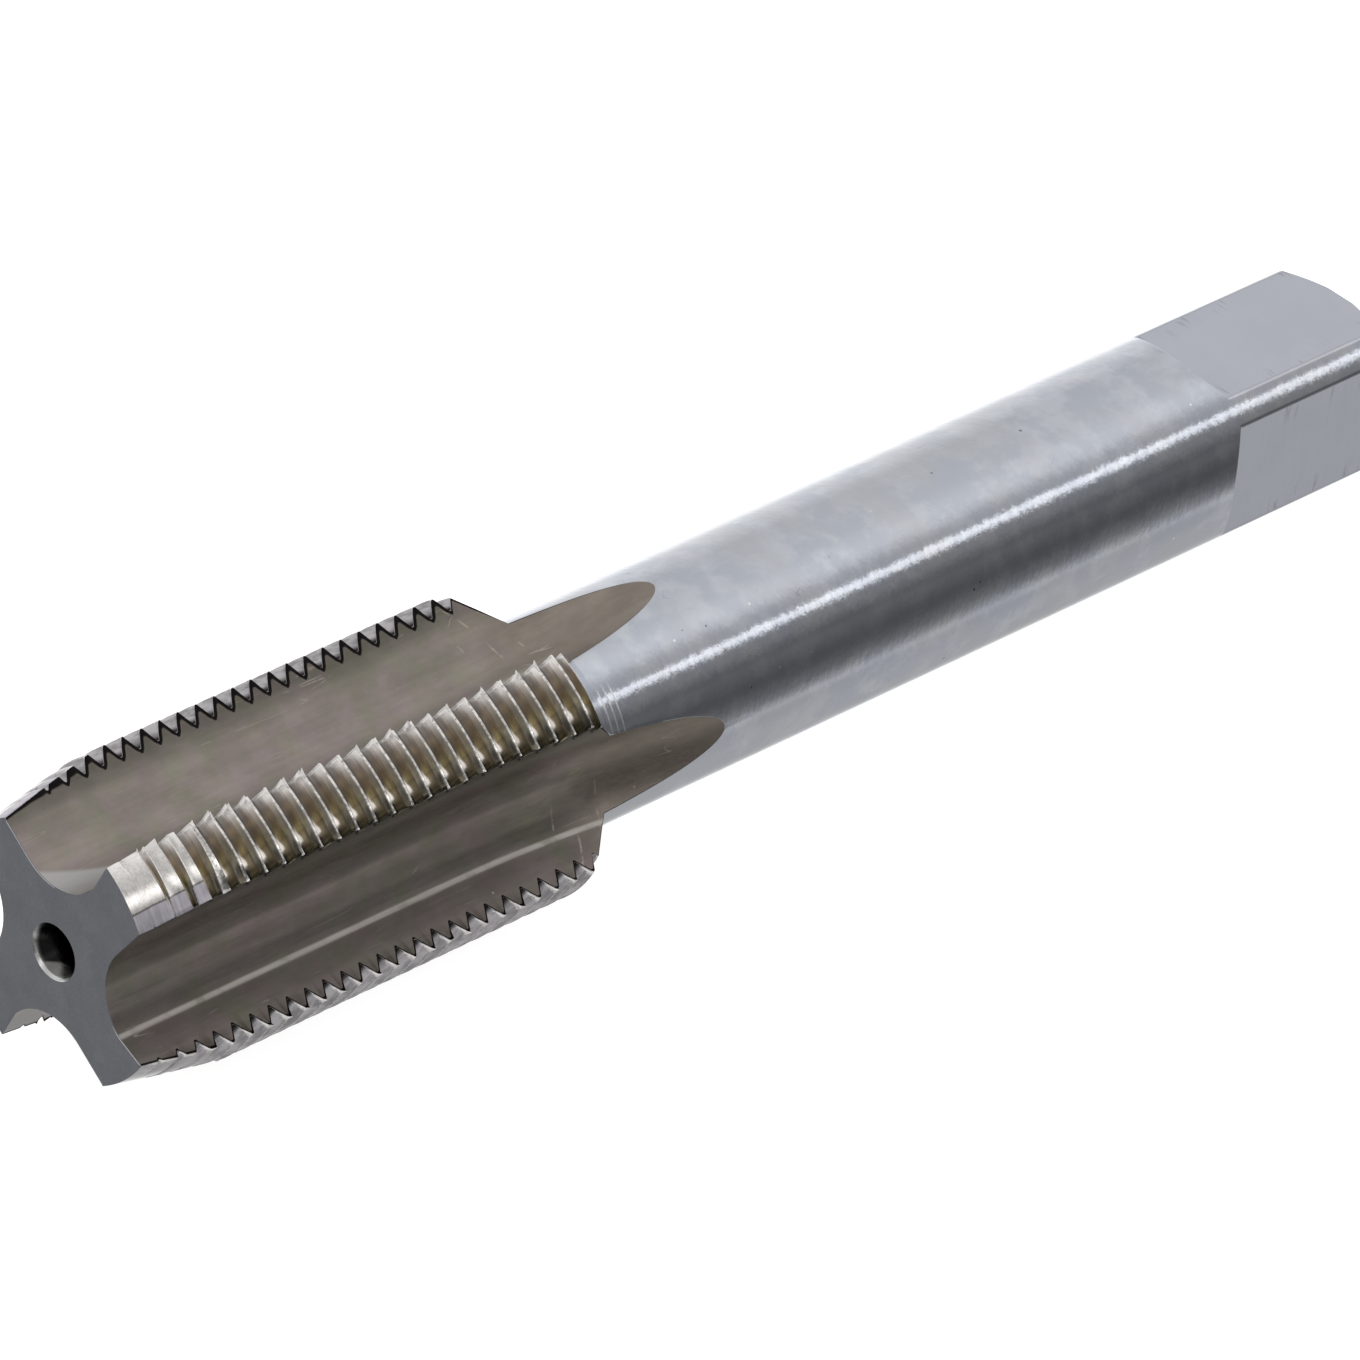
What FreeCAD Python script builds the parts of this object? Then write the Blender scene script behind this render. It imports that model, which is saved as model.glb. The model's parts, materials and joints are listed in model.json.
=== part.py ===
import FreeCAD, Part
import math
import os

# A straight-fluted hand tap: one solid of hardened steel. It is shaped with its
# axis along Z, the tip face at z = 0 and the driving square at the far end, and
# then laid down as it rests on a table. Lengths are in millimetres, angles in
# degrees. An azimuth is an angle about the tap's own axis.

# Lengths along the axis
overall_length = 112.0
thread_length = 36.9
square_length = 15.1

# Thread: right-hand, with flats at crest and root
thread_diameter = 20.0
pitch = 1.5
thread_angle = 60.0
crest_flat = 0.19
root_flat = 0.125
thread_start_azimuth = 269.3

# Lead: the first teeth are ground to a cone and backed off behind the cutting edge
lead_angle = 10.0
lead_tip_radius = 8.74
lead_relief = 0.7

# Shank and the cone that the thread steps down to it by
shank_diameter = 14.0
shoulder_angle = 45.0
end_chamfer_radial = 1.35
end_chamfer_axial = 1.1

# Driving square, milled on the end of the shank
square_flats = 11.2
square_azimuth = 40.0
square_run_in_angle = 48.0

# Flutes: a flat cutting face, a round bottom and a flat heel that leans open
flute_count = 4
cutting_face_azimuth = 62.4
core_diameter = 8.94
flute_bottom_radius = 4.0
deepest_from_face = 27.3
heel_from_deepest = 51.8
flute_length = 49.5
flute_cutter_radius = 100.0

# Centre holes, one in each end
centre_mouth_diameter = 3.6
centre_cone_angle = 60.0
centre_pilot_diameter = 1.6
centre_pilot_length = 2.2

# How far a cut starts outside the steel, and how far a thread cut does
overrun = 1.0
thread_overrun = 0.1

thread_radius = thread_diameter / 2
shank_radius = shank_diameter / 2
core_radius = core_diameter / 2
flute_step = 360.0 / flute_count
deepest_azimuth = cutting_face_azimuth - deepest_from_face
square_start = overall_length - square_length
square_run_in_slope = math.tan(math.radians(square_run_in_angle))
flute_rise = shank_radius - core_radius
flute_straight_length = flute_length - math.sqrt(flute_rise * (2 * flute_cutter_radius - flute_rise))
flute_reach = thread_radius + overrun
flank_slope = math.tan(math.radians(thread_angle / 2))
thread_depth = (pitch - crest_flat - root_flat) / 2 / flank_slope
root_radius = thread_radius - thread_depth

centre = FreeCAD.Vector(0, 0, 0)
axis_x = FreeCAD.Vector(1, 0, 0)
axis_y = FreeCAD.Vector(0, 1, 0)
axis_z = FreeCAD.Vector(0, 0, 1)


def polar(radius, azimuth, z=0.0):
    # point at a radius and an azimuth about the axis
    angle = math.radians(azimuth)
    return FreeCAD.Vector(radius * math.cos(angle), radius * math.sin(angle), z)


def azimuth_of(point):
    return math.degrees(math.atan2(point.y, point.x))


def along_to_radius(point, direction, radius):
    # where a line from a point comes out at a radius
    along = point.dot(direction)
    return point + direction * (math.sqrt(along ** 2 + radius ** 2 - point.dot(point)) - along)


def turned(profile, start=0.0, sweep=360.0):
    # solid of revolution from an outline of (radius, z) corners
    corners = [polar(radius, start, z) for radius, z in profile]
    return Part.Face(Part.makePolygon(corners + corners[:1])).revolve(centre, axis_z, sweep)


def repeated(shape, count):
    # copies of a shape, evenly spaced about the axis
    copies = []
    for index in range(count):
        copy = shape.copy()
        copy.rotate(centre, axis_z, 360.0 / count * index)
        copies.append(copy)
    return copies


def blank():
    # the turned bar before its ends are finished and its flutes and thread are cut
    shoulder_length = (thread_radius - shank_radius) / math.tan(math.radians(shoulder_angle))
    return turned([
        (0, 0),
        (thread_radius, 0),
        (thread_radius, thread_length),
        (shank_radius, thread_length + shoulder_length),
        (shank_radius, overall_length),
        (0, overall_length),
    ])


def end_chamfer():
    # what turning takes off the edge of the far end. It is a spline surface, so that
    # the square's corners meet it in spline edges and not in hyperbolas
    slope = end_chamfer_axial / end_chamfer_radial
    inner = shank_radius - end_chamfer_radial - overrun
    outer = shank_radius + overrun
    top = overall_length + overrun * slope
    return turned([
        (inner, top),
        (outer, overall_length - end_chamfer_axial - overrun * slope),
        (outer, top),
    ]).toNurbs()


def centre_hole():
    # countersunk mouth and drilled pilot in the tip face
    mouth_radius = centre_mouth_diameter / 2
    pilot_radius = centre_pilot_diameter / 2
    cone_slope = math.tan(math.radians(centre_cone_angle / 2))
    cone_depth = (mouth_radius - pilot_radius) / cone_slope
    hole_depth = cone_depth + centre_pilot_length
    return turned([
        (0, -overrun),
        (mouth_radius + overrun * cone_slope, -overrun),
        (pilot_radius, cone_depth),
        (pilot_radius, hole_depth),
        (0, hole_depth),
    ])


def at_far_end(shape):
    shape.rotate(centre, axis_x, 180)
    shape.translate(axis_z * overall_length)
    return shape


def square_cuts():
    # what milling takes off the shank on each side of the driving square: it runs
    # in at a slope, so the flats start in a ramp and not in a square step
    inner = square_flats / 2
    outer = shank_radius + overrun
    end = overall_length + overrun
    corners = [FreeCAD.Vector(height, -shank_radius, z) for height, z in [
        (inner, square_start),
        (outer, square_start - (outer - inner) / square_run_in_slope),
        (outer, end),
        (inner, end),
    ]]
    side = Part.Face(Part.makePolygon(corners + corners[:1])).extrude(axis_y * shank_diameter)
    side.rotate(centre, axis_z, square_azimuth)
    return repeated(side, 4)


def flute_outline():
    # corners of one flute's section: top and foot of the cutting face, bottom,
    # then foot and top of the heel, which runs on from the round bottom
    middle = polar(core_radius + flute_bottom_radius, deepest_azimuth)
    bottom = polar(core_radius, deepest_azimuth)
    face = polar(1, cutting_face_azimuth)
    along = middle.dot(face)
    face_foot = face * (along - math.sqrt(along ** 2 - middle.dot(middle) + flute_bottom_radius ** 2))
    heel = polar(1, deepest_azimuth - heel_from_deepest)
    heel_foot = middle + polar(flute_bottom_radius, deepest_azimuth - heel_from_deepest - 90)
    return face * flute_reach, face_foot, bottom, heel_foot, along_to_radius(heel_foot, heel, flute_reach)


def land_edges(z):
    # azimuths at which one flute's heel and cutting face meet the thread's crests.
    # Past the straight length the whole section has risen on the cutter's arc
    face_top, face_foot, bottom, heel_foot, heel_top = flute_outline()
    past = max(0.0, z - flute_straight_length)
    azimuths = []
    for foot, top in [(heel_foot, heel_top), (face_foot, face_top)]:
        arc_radius = flute_cutter_radius + core_radius - foot.dot(polar(1, deepest_azimuth))
        risen = foot + polar(arc_radius - math.sqrt(arc_radius ** 2 - past ** 2), deepest_azimuth)
        azimuths.append(azimuth_of(along_to_radius(risen, (top - foot).normalize(), thread_radius)))
    return azimuths


def flute():
    # straight from the tip, then rising to the shank on the milling cutter's radius
    face_top, face_foot, bottom, heel_foot, heel_top = flute_outline()
    outside = polar(flute_reach / math.cos(math.radians(flute_step / 2)), deepest_azimuth)
    section = Part.Face(Part.Wire([
        Part.LineSegment(face_top, face_foot).toShape(),
        Part.Arc(face_foot, bottom, heel_foot).toShape(),
        Part.LineSegment(heel_foot, heel_top).toShape(),
        Part.LineSegment(heel_top, outside).toShape(),
        Part.LineSegment(outside, face_top).toShape(),
    ]))
    section.translate(axis_z * flute_straight_length)
    straight = section.extrude(axis_z * -(flute_straight_length + overrun))
    cutter_centre = polar(core_radius + flute_cutter_radius, deepest_azimuth, flute_straight_length)
    run_out_sweep = math.degrees(math.acos(1 - (flute_reach - core_radius) / flute_cutter_radius))
    run_out = section.revolve(cutter_centre, polar(1, deepest_azimuth + 90), run_out_sweep)
    # as spline surfaces, because the thread's cones don't always cut a cone cleanly
    return straight.fuse(run_out).toNurbs()


def thread_grooves(land_middle, half_width):
    # the thread's grooves across one land. Over so short an arc a turn of the helix
    # is a ring that leans by the helix angle, so each groove is one leaning ring
    half_root = root_flat / 2
    half_mouth = (pitch - crest_flat) / 2 + thread_overrun * flank_slope
    mouth_radius = thread_radius + thread_overrun
    ring = turned([
        (root_radius, -half_root),
        (root_radius, half_root),
        (mouth_radius, half_mouth),
        (mouth_radius, -half_mouth),
    ], -half_width, 2 * half_width)
    ring.rotate(centre, axis_x, math.degrees(math.atan(pitch / (math.pi * thread_diameter))))
    ring.rotate(centre, axis_z, land_middle)
    first = ((land_middle - thread_start_azimuth) / 360 + 0.5) % 1 * pitch
    end = thread_length + thread_depth + pitch / 2
    grooves = []
    for turn in range(math.ceil((end - first) / pitch)):
        groove = ring.copy()
        groove.translate(axis_z * (first + pitch * turn))
        grooves.append(groove)
    return grooves


def lead_cut(land_middle):
    # the grinding of one land's first teeth: the cone's axis lies off the tap's,
    # towards the cutting edge, so that the land falls away behind that edge
    cone_slope = math.tan(math.radians(lead_angle))
    outer_radius = thread_radius + lead_relief + overrun
    half_sweep = flute_step / 2
    ground = turned([
        (lead_tip_radius - overrun * cone_slope, -overrun),
        (outer_radius, -overrun),
        (outer_radius, (outer_radius - lead_tip_radius) / cone_slope),
    ], land_middle - half_sweep, 2 * half_sweep)
    ground.translate(polar(lead_relief, land_middle - 90))
    return ground


def tap():
    heel, face = land_edges(0)
    land_middle = (heel + flute_step + face) / 2
    land_width = heel + flute_step - face
    cuts = repeated(flute(), flute_count)
    cuts += repeated(lead_cut(land_middle), flute_count)
    cuts += square_cuts()
    cuts += [end_chamfer(), centre_hole(), at_far_end(centre_hole())]
    body = blank().cut(cuts)
    for index in range(flute_count):
        body = body.cut(thread_grooves(land_middle + flute_step * index, land_width))
    return body


def laid_down(body):
    # the tap rests on the last crests of the two lands beside one flute and on the
    # shank's edge at the square, with the tip towards -X. The origin is on the
    # table below the middle of its box
    heel, face = land_edges(thread_length)
    down_azimuth = (heel + face) / 2 + flute_step
    drop = thread_radius * math.cos(math.radians((face - heel) / 2)) - shank_radius
    from_flat = math.radians((down_azimuth - square_azimuth + 45) % 90 - 45)
    edge_depth = shank_radius * math.cos(from_flat) - square_flats / 2
    edge = square_start - edge_depth / square_run_in_slope
    tilt = math.degrees(math.atan(drop / (edge - thread_length)))
    body.rotate(centre, axis_z, -down_azimuth)
    body.rotate(centre, axis_y, 90 + tilt)
    box = body.optimalBoundingBox()
    body.translate(FreeCAD.Vector(-box.Center.x, -box.Center.y, -box.ZMin))
    return body


os.makedirs("parts", exist_ok=True)
laid_down(tap()).exportStep("parts/thread_tap.step")
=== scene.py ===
import json
import math

import bpy
import numpy as np
from mathutils import Matrix, Vector
from mathutils.geometry import delaunay_2d_cdt


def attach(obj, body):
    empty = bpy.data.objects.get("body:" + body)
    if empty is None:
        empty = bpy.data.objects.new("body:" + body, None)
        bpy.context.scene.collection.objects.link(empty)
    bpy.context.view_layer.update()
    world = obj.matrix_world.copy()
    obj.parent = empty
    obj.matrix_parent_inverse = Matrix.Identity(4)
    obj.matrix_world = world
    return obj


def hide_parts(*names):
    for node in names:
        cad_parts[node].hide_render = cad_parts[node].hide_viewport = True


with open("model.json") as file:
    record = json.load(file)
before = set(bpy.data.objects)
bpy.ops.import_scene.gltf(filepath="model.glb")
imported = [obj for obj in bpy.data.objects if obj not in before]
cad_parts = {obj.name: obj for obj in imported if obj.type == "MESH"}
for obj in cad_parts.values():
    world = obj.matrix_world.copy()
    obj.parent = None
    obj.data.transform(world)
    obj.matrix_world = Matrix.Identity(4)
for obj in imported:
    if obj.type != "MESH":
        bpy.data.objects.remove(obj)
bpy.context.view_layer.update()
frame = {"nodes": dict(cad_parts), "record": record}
print("frame loaded:", sorted(frame["nodes"]))

# The tap lies along X with its cutting tip towards -X. Its mesh is worked out in the
# tap's own coordinates, in millimetres: z runs along the axis from the tip face, and
# azimuths are degrees about that axis. The frame's mounts then say where it lies.

mounts = {mount["name"]: mount for mount in frame["record"]["mounts"]}
tipPlace = Vector(mounts["tip_centre"]["pos_m"]) * 1000
endPlace = Vector(mounts["end_centre"]["pos_m"]) * 1000
tapLength = (endPlace - tipPlace).length
threadRadius = mounts["cutting_thread"]["dims"]["r_mm"]
threadLength = mounts["cutting_thread"]["dims"]["length_mm"]
shankRadius = mounts["shank"]["dims"]["r_mm"]
rng = np.random.default_rng(7)


# Flutes

fluteForm = {
    "count": 4,
    "faceAzimuth": 62.4,
    "deepestFromFace": 27.3,
    "heelFromDeepest": 51.8,
    "coreRadius": 4.47,
    "bottomRadius": 4.0,
    "length": 49.5,
    "cutterRadius": 100.0,
    "edgeBreak": 0.03,
    "rimWidths": {"face": 0.22, "heel": 0.62},  # of the dark lines inside its edges: partly deposit, partly painted shadow under the teeth
    "rimPastThread": 0.4,  # what is left of those widths past the thread
    "leastHalfWidth": 0.25,  # where a run-out closes to a point, its columns stay this wide
    "edgeSteps": 36,  # halvings in the search for its edge
}

sectorStep = 360.0 / fluteForm["count"]
deepestAzimuth = fluteForm["faceAzimuth"] - fluteForm["deepestFromFace"]
wallAngle = math.radians(fluteForm["deepestFromFace"])
heelAngle = math.radians(fluteForm["heelFromDeepest"])
arcCentre = fluteForm["coreRadius"] + fluteForm["bottomRadius"]
alongFace = arcCentre * math.cos(wallAngle)
faceFoot = alongFace - math.sqrt(alongFace ** 2 - arcCentre ** 2 + fluteForm["bottomRadius"] ** 2)
faceArc = fluteForm["bottomRadius"] * math.asin(faceFoot * math.sin(wallAngle) / fluteForm["bottomRadius"])
heelArc = fluteForm["bottomRadius"] * (math.pi / 2 - heelAngle)
fluteRise = shankRadius - fluteForm["coreRadius"]
straightLength = fluteForm["length"] - math.sqrt(fluteRise * (2 * fluteForm["cutterRadius"] - fluteRise))


def fluteSection(s):
    # s is the length along the section from its deepest line, positive towards the
    # cutting face. Gives the distance out along the deepest direction and to its side
    bend = np.clip(s, -heelArc, faceArc) / fluteForm["bottomRadius"]
    pastFace = np.maximum(s - faceArc, 0)
    pastHeel = np.maximum(-s - heelArc, 0)
    out = arcCentre - fluteForm["bottomRadius"] * np.cos(bend)
    out = out + pastFace * math.cos(wallAngle) + pastHeel * math.cos(heelAngle)
    side = fluteForm["bottomRadius"] * np.sin(bend)
    side = side + pastFace * math.sin(wallAngle) - pastHeel * math.sin(heelAngle)
    return out, side


def flutePoint(s, z):
    # radius, and azimuth from the deepest line. Past the straight length the section
    # rises on the milling cutter's arc
    out, side = fluteSection(s)
    arc = fluteForm["cutterRadius"] + fluteForm["coreRadius"] - out
    past = np.clip(z - straightLength, 0, fluteForm["length"] - straightLength)
    out = out + arc - np.sqrt(arc ** 2 - past ** 2)
    return np.hypot(out, side), np.degrees(np.arctan2(side, out))


def sectionEdge(side, z, radius):
    # length along the section, on one side, at which it comes out at a radius
    low = np.zeros(np.broadcast(z, radius).shape)
    high = low + 2 * threadRadius
    for _ in range(fluteForm["edgeSteps"]):
        middle = (low + high) / 2
        inside = flutePoint(side * middle, z)[0] < radius
        low = np.where(inside, middle, low)
        high = np.where(inside, high, middle)
    return np.maximum(low, fluteForm["leastHalfWidth"])


# Thread

threadForm = {
    "pitch": 1.5,
    "angle": 60.0,
    "crestFlat": 0.19,
    "rootFlat": 0.125,
    "startAzimuth": 269.3,
    "leadAngle": 10.0,
    "leadTipRadius": 8.74,
    "leadRelief": 0.7,  # how far the lead's cone is set off towards the cutting edge
    "edgeBreak": 0.035,
    "leastFlank": 0.02,  # of a tooth that the lead or the shoulder cuts low
    "wallsBelowRoot": 0.15,  # how far below the roots the flutes' walls end
    "finishPast": 1.0,  # how far the thread's finish runs on down the shoulder
    "sharpAngle": 40.0,
}

flankSlope = math.tan(math.radians(threadForm["angle"] / 2))
rootOffset = (threadForm["pitch"] - threadForm["rootFlat"]) / 2
rootRadius = threadRadius - (rootOffset - threadForm["crestFlat"] / 2) / flankSlope
shoulderEnd = threadLength + threadRadius - shankRadius  # the shoulder is a cone of 45 degrees


def landEdge(side, z, radius):
    return flutePoint(side * sectionEdge(side, z, radius), z)[1]


landStart = deepestAzimuth + float(landEdge(1, 0.0, np.array(threadRadius)))
landEnd = deepestAzimuth + float(landEdge(-1, 0.0, np.array(threadRadius))) + sectorStep
landMiddle = (landStart + landEnd) / 2


def widestRadius(azimuth, z):
    # how far out the steel may reach: the lead's cone, the thread and the shoulder
    land = np.round((azimuth - landMiddle) / sectorStep)
    fromAxis = np.radians(azimuth - landMiddle - sectorStep * land + 90)
    cone = threadForm["leadTipRadius"] + z * math.tan(math.radians(threadForm["leadAngle"]))
    relief = threadForm["leadRelief"]
    lead = relief * np.cos(fromAxis) + np.sqrt(cone ** 2 - (relief * np.sin(fromAxis)) ** 2)
    shoulder = np.maximum(threadRadius - np.maximum(z - threadLength, 0), shankRadius)
    return np.minimum(np.minimum(lead, threadRadius), shoulder)


def threadOffset(stage, limit):
    # distance from a crest's middle of four places down one flank: on the crest, just
    # below its edge, half way down and at the root. Where the lead or the shoulder cuts
    # the crest lower, it is wider
    crest = np.minimum(threadForm["crestFlat"] / 2 + (threadRadius - limit) * flankSlope, rootOffset)
    below = np.minimum(crest + threadForm["edgeBreak"], rootOffset - threadForm["leastFlank"])
    return np.choose(stage, [crest - threadForm["edgeBreak"], below, (below + rootOffset) / 2, rootOffset])


def threadSurface(offset, limit):
    flank = threadRadius - np.maximum(offset - threadForm["crestFlat"] / 2, 0) / flankSlope
    return np.minimum(np.maximum(flank, rootRadius), limit)


# Square and shank

squareForm = {
    "azimuth": 40.0,
    "halfFlats": 5.6,
    "length": 15.1,
    "runInAngle": 48.0,
    "chamferRadial": 1.35,
    "chamferAxial": 1.1,
    "edgeBreak": 0.07,
    "rowsBefore": 2.2,  # where the rows begin that follow the square
    "rowsClear": 2.0,  # how far from the chamfer the last row of the flats keeps
    "leastCut": 0.004,  # how far below the shank a face lies that was milled
}

squareStart = tapLength - squareForm["length"]
chamferStart = tapLength - squareForm["chamferAxial"]
chamferSlope = squareForm["chamferRadial"] / squareForm["chamferAxial"]
runInSlope = math.tan(math.radians(squareForm["runInAngle"]))
flatHalfAngle = math.degrees(math.acos(squareForm["halfFlats"] / shankRadius))


def fromFlat(azimuth):
    return np.radians((azimuth - squareForm["azimuth"] + 45) % 90 - 45)


def shankSurface(azimuth, z):
    # radius of the round shank, its milled flats with their ramps, and the end chamfer
    flat = squareForm["halfFlats"] + np.maximum(squareStart - z, 0) * runInSlope
    chamfer = shankRadius - np.maximum(z - chamferStart, 0) * chamferSlope
    return np.minimum(np.minimum(shankRadius, chamfer), flat / np.cos(fromFlat(azimuth)))


# Columns of the mesh run along the tap, round it in order: for each sector the flute
# from its heel to its cutting face, and then the land. Rows run round it.

gridForm = {
    "arcColumns": 8,
    "wallColumns": 4,
    "landColumns": 22,
    "landCrowding": 0.85,  # under 1, the land's columns stand closer near its edges
    "mostArc": 0.8,  # the share of a shallow flute's half width that its arc may take
    "mostEdge": 0.1,  # and what its edge's break may take of its last strip
    "arcOnFlat": 0.7,  # the share of a flat's half width that the flute's arc columns take
    "wallOnFlat": 0.97,  # and where in the rest its wall columns end
    "rimOnFlat": 0.9,
    "shoulderRows": 22,
    "shankRows": 19,
    "flatRows": 7,
    "threadSteps": 7,  # rounds in which the helix and the flutes' edges settle
}
kinds = {"arc": 0, "wall": 1, "fluteRim": 2, "fluteEdge": 3, "land": 4}
edgeWidths = {"face": 0.16, "heel": 0.035}  # bright edges, as shares of the land's width


def makeColumns():
    # each column's side of the flute, its kind, its share of that kind's width and its sector
    half = [(kinds["arc"], share) for share in np.linspace(0, 1, gridForm["arcColumns"] + 1)]
    half += [(kinds["wall"], share) for share in np.linspace(0, 1, gridForm["wallColumns"] + 2)[1:-1]]
    half += [(kinds["fluteRim"], gridForm["rimOnFlat"]), (kinds["fluteEdge"], 1)]
    lands = np.linspace(-1, 1, gridForm["landColumns"])
    lands = 0.5 + 0.5 * np.sign(lands) * np.abs(lands) ** gridForm["landCrowding"]
    columns = []
    for sector in range(fluteForm["count"]):
        columns += [(-1, kind, share, sector) for kind, share in half[:0:-1]]
        columns += [(1, kind, share, sector) for kind, share in half]
        columns += [(0, kinds["land"], share, sector) for share in lands]
    return [np.array(values) for values in zip(*columns)]


columnSide, columnKind, columnShare, columnSector = makeColumns()
columnTotal = len(columnSide)
isLand = columnKind == kinds["land"]
columnDeepest = deepestAzimuth + sectorStep * columnSector


def steelPoint(z, limit, local):
    # azimuth and radius of every column at its own z, and how far it lies across the
    # flute. limit is how far out the flute's walls are spread, and local how far out
    # its edges and the land are there
    z = np.broadcast_to(z, np.broadcast(z, local).shape)
    side = np.where(columnSide < 0, -1, 1)
    full = sectionEdge(side, z, limit)
    foot = np.minimum(np.where(side < 0, heelArc, faceArc), gridForm["mostArc"] * full)
    edge = sectionEdge(side, z, local)
    lastWall = foot + (full - foot) * gridForm["wallColumns"] / (gridForm["wallColumns"] + 1)
    rimWidth = np.where(side > 0, fluteForm["rimWidths"]["face"], fluteForm["rimWidths"]["heel"])
    rimWidth = np.where(z > threadLength, rimWidth * fluteForm["rimPastThread"], rimWidth)
    s = np.choose(np.minimum(columnKind, kinds["fluteEdge"]), [
        columnShare * foot,
        foot + columnShare * (full - foot),
        np.maximum(edge - rimWidth, (lastWall + edge) / 2),
        edge - np.minimum(fluteForm["edgeBreak"], gridForm["mostEdge"] * (edge - lastWall)),
    ])
    radius, azimuth = flutePoint(side * s, z)
    radius = np.minimum(radius, local)
    turn = np.degrees(fluteForm["edgeBreak"] / local)
    start = landEdge(1, z, local) + turn
    end = landEdge(-1, z, local) + sectorStep - turn
    azimuth = np.where(isLand, start + columnShare * (end - start), azimuth)
    return columnDeepest + azimuth, np.where(isLand, local, radius), side * s


rowStages = np.array([3, 2, 1, 0, 0, 1, 2, 3])
rowSides = np.array([-1, -1, -1, -1, 1, 1, 1, 1])
rowsPerTurn = len(rowStages)


def threadRows():
    # rows that follow the helix: each turn has four places down both its flanks, so the
    # teeth keep true edges. The rows at both ends are held back to a plane
    turns = np.arange(-1, math.ceil(shoulderEnd / threadForm["pitch"]) + 2)
    turn = np.repeat(turns, rowsPerTurn)[:, None]
    stage = np.tile(rowStages, len(turns))[:, None]
    flank = np.tile(rowSides, len(turns))[:, None]
    azimuth = columnDeepest + np.where(isLand, landMiddle - deepestAzimuth, 0) + np.zeros(turn.shape)
    z = threadForm["pitch"] * (turn + (azimuth - threadForm["startAzimuth"]) / 360)
    for _ in range(gridForm["threadSteps"]):
        limit = widestRadius(azimuth, z)
        offset = threadOffset(stage, limit)
        crest = threadForm["pitch"] * (turn + (azimuth - threadForm["startAzimuth"]) / 360)
        z = np.clip(crest + flank * offset, fluteForm["edgeBreak"], shoulderEnd)
        limit = widestRadius(azimuth, z)
        local = threadSurface(np.abs(z - crest), limit)
        local = np.where((z <= fluteForm["edgeBreak"]) | (z >= shoulderEnd), limit, local)
        wallEnds = np.minimum(limit, rootRadius - threadForm["wallsBelowRoot"])
        azimuth, radius, across = steelPoint(z, wallEnds, local)
    groove = np.where(isLand, np.clip((limit - radius) / (threadRadius - rootRadius), 0, 1), 0)
    return azimuth, radius, z, across, groove, stage + np.zeros(z.shape, int)


def squareAzimuths():
    # where the columns stand round the square: the flute's on a flat, the land's on a corner
    arc = gridForm["arcOnFlat"]
    wall = np.where(columnKind == kinds["wall"], columnShare * gridForm["wallOnFlat"], columnShare)
    share = np.where(columnKind == kinds["arc"], columnShare * arc, arc + wall * (1 - arc))
    turn = math.degrees(squareForm["edgeBreak"] / shankRadius)
    flat = np.degrees(np.arctan(share * math.tan(math.radians(flatHalfAngle - turn))))
    corner = flatHalfAngle + turn + columnShare * (sectorStep - 2 * flatHalfAngle - 2 * turn)
    return squareForm["azimuth"] + sectorStep * columnSector + np.where(isLand, corner, columnSide * flat)


def shankRows():
    # flat rows from the shoulder to the far end. The columns slide from the flutes and
    # lands to the square's flats and corners, and the last rows follow its edges
    leaf = fluteForm["length"]
    before = squareStart - squareForm["rowsBefore"]
    rise = np.sin(np.linspace(0, math.pi / 2, gridForm["shoulderRows"]))
    rows = list(shoulderEnd + (leaf - shoulderEnd) * rise)
    rows += list(np.linspace(leaf, before, gridForm["shankRows"] + 1)[1:])
    z = np.array(rows)[:, None] + np.zeros(columnTotal)
    local = np.full(z.shape, shankRadius)
    azimuth, radius, along = steelPoint(z, local, local)
    squareAzimuth = squareAzimuths()
    across = np.clip((z - leaf) / (before - leaf), 0, 1)
    across = across * across * (3 - 2 * across)
    azimuth = azimuth + across * (squareAzimuth - azimuth)
    soft = squareForm["edgeBreak"] / 2
    fromCentre = shankRadius * np.cos(fromFlat(squareAzimuth))
    rampStart = squareStart - np.maximum(fromCentre - squareForm["halfFlats"], 0) / runInSlope
    chamferMeets = np.maximum(shankRadius - squareForm["halfFlats"] / np.cos(fromFlat(squareAzimuth)), 0)
    chamferMeets = np.minimum(chamferStart + chamferMeets / chamferSlope, tapLength - 3 * soft)
    # four rows hold each edge, so that its shading stays on its break
    ends = [rampStart + step * soft for step in (-3, -1, 1, 3)] + [(rampStart + squareStart) / 2]
    flats = np.linspace(squareStart + 3 * soft, chamferStart - squareForm["rowsClear"], gridForm["flatRows"])
    places = [squareStart + step * soft for step in (-3, -1, 1)]
    ends += [np.full(columnTotal, place) for place in [*places, *flats]]
    ends += [chamferMeets + step * soft for step in (-3, -1, 1)]
    ends += [np.full(columnTotal, tapLength - 1.5 * soft)]
    z = np.vstack([z] + ends)
    apart = np.arange(len(z))[:, None] * 1e-3
    z = np.maximum.accumulate(z + apart, axis=0) - apart
    azimuth = np.vstack([azimuth] + [squareAzimuth] * len(ends))
    outer = shankSurface(azimuth, z)
    radius = np.vstack([radius, outer[len(rows):]])
    along = np.vstack([along] + [along[-1]] * len(ends))
    return azimuth, np.minimum(radius, outer), z, along


print("columns of the tap's mesh:", columnTotal)


# Mesh

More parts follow.
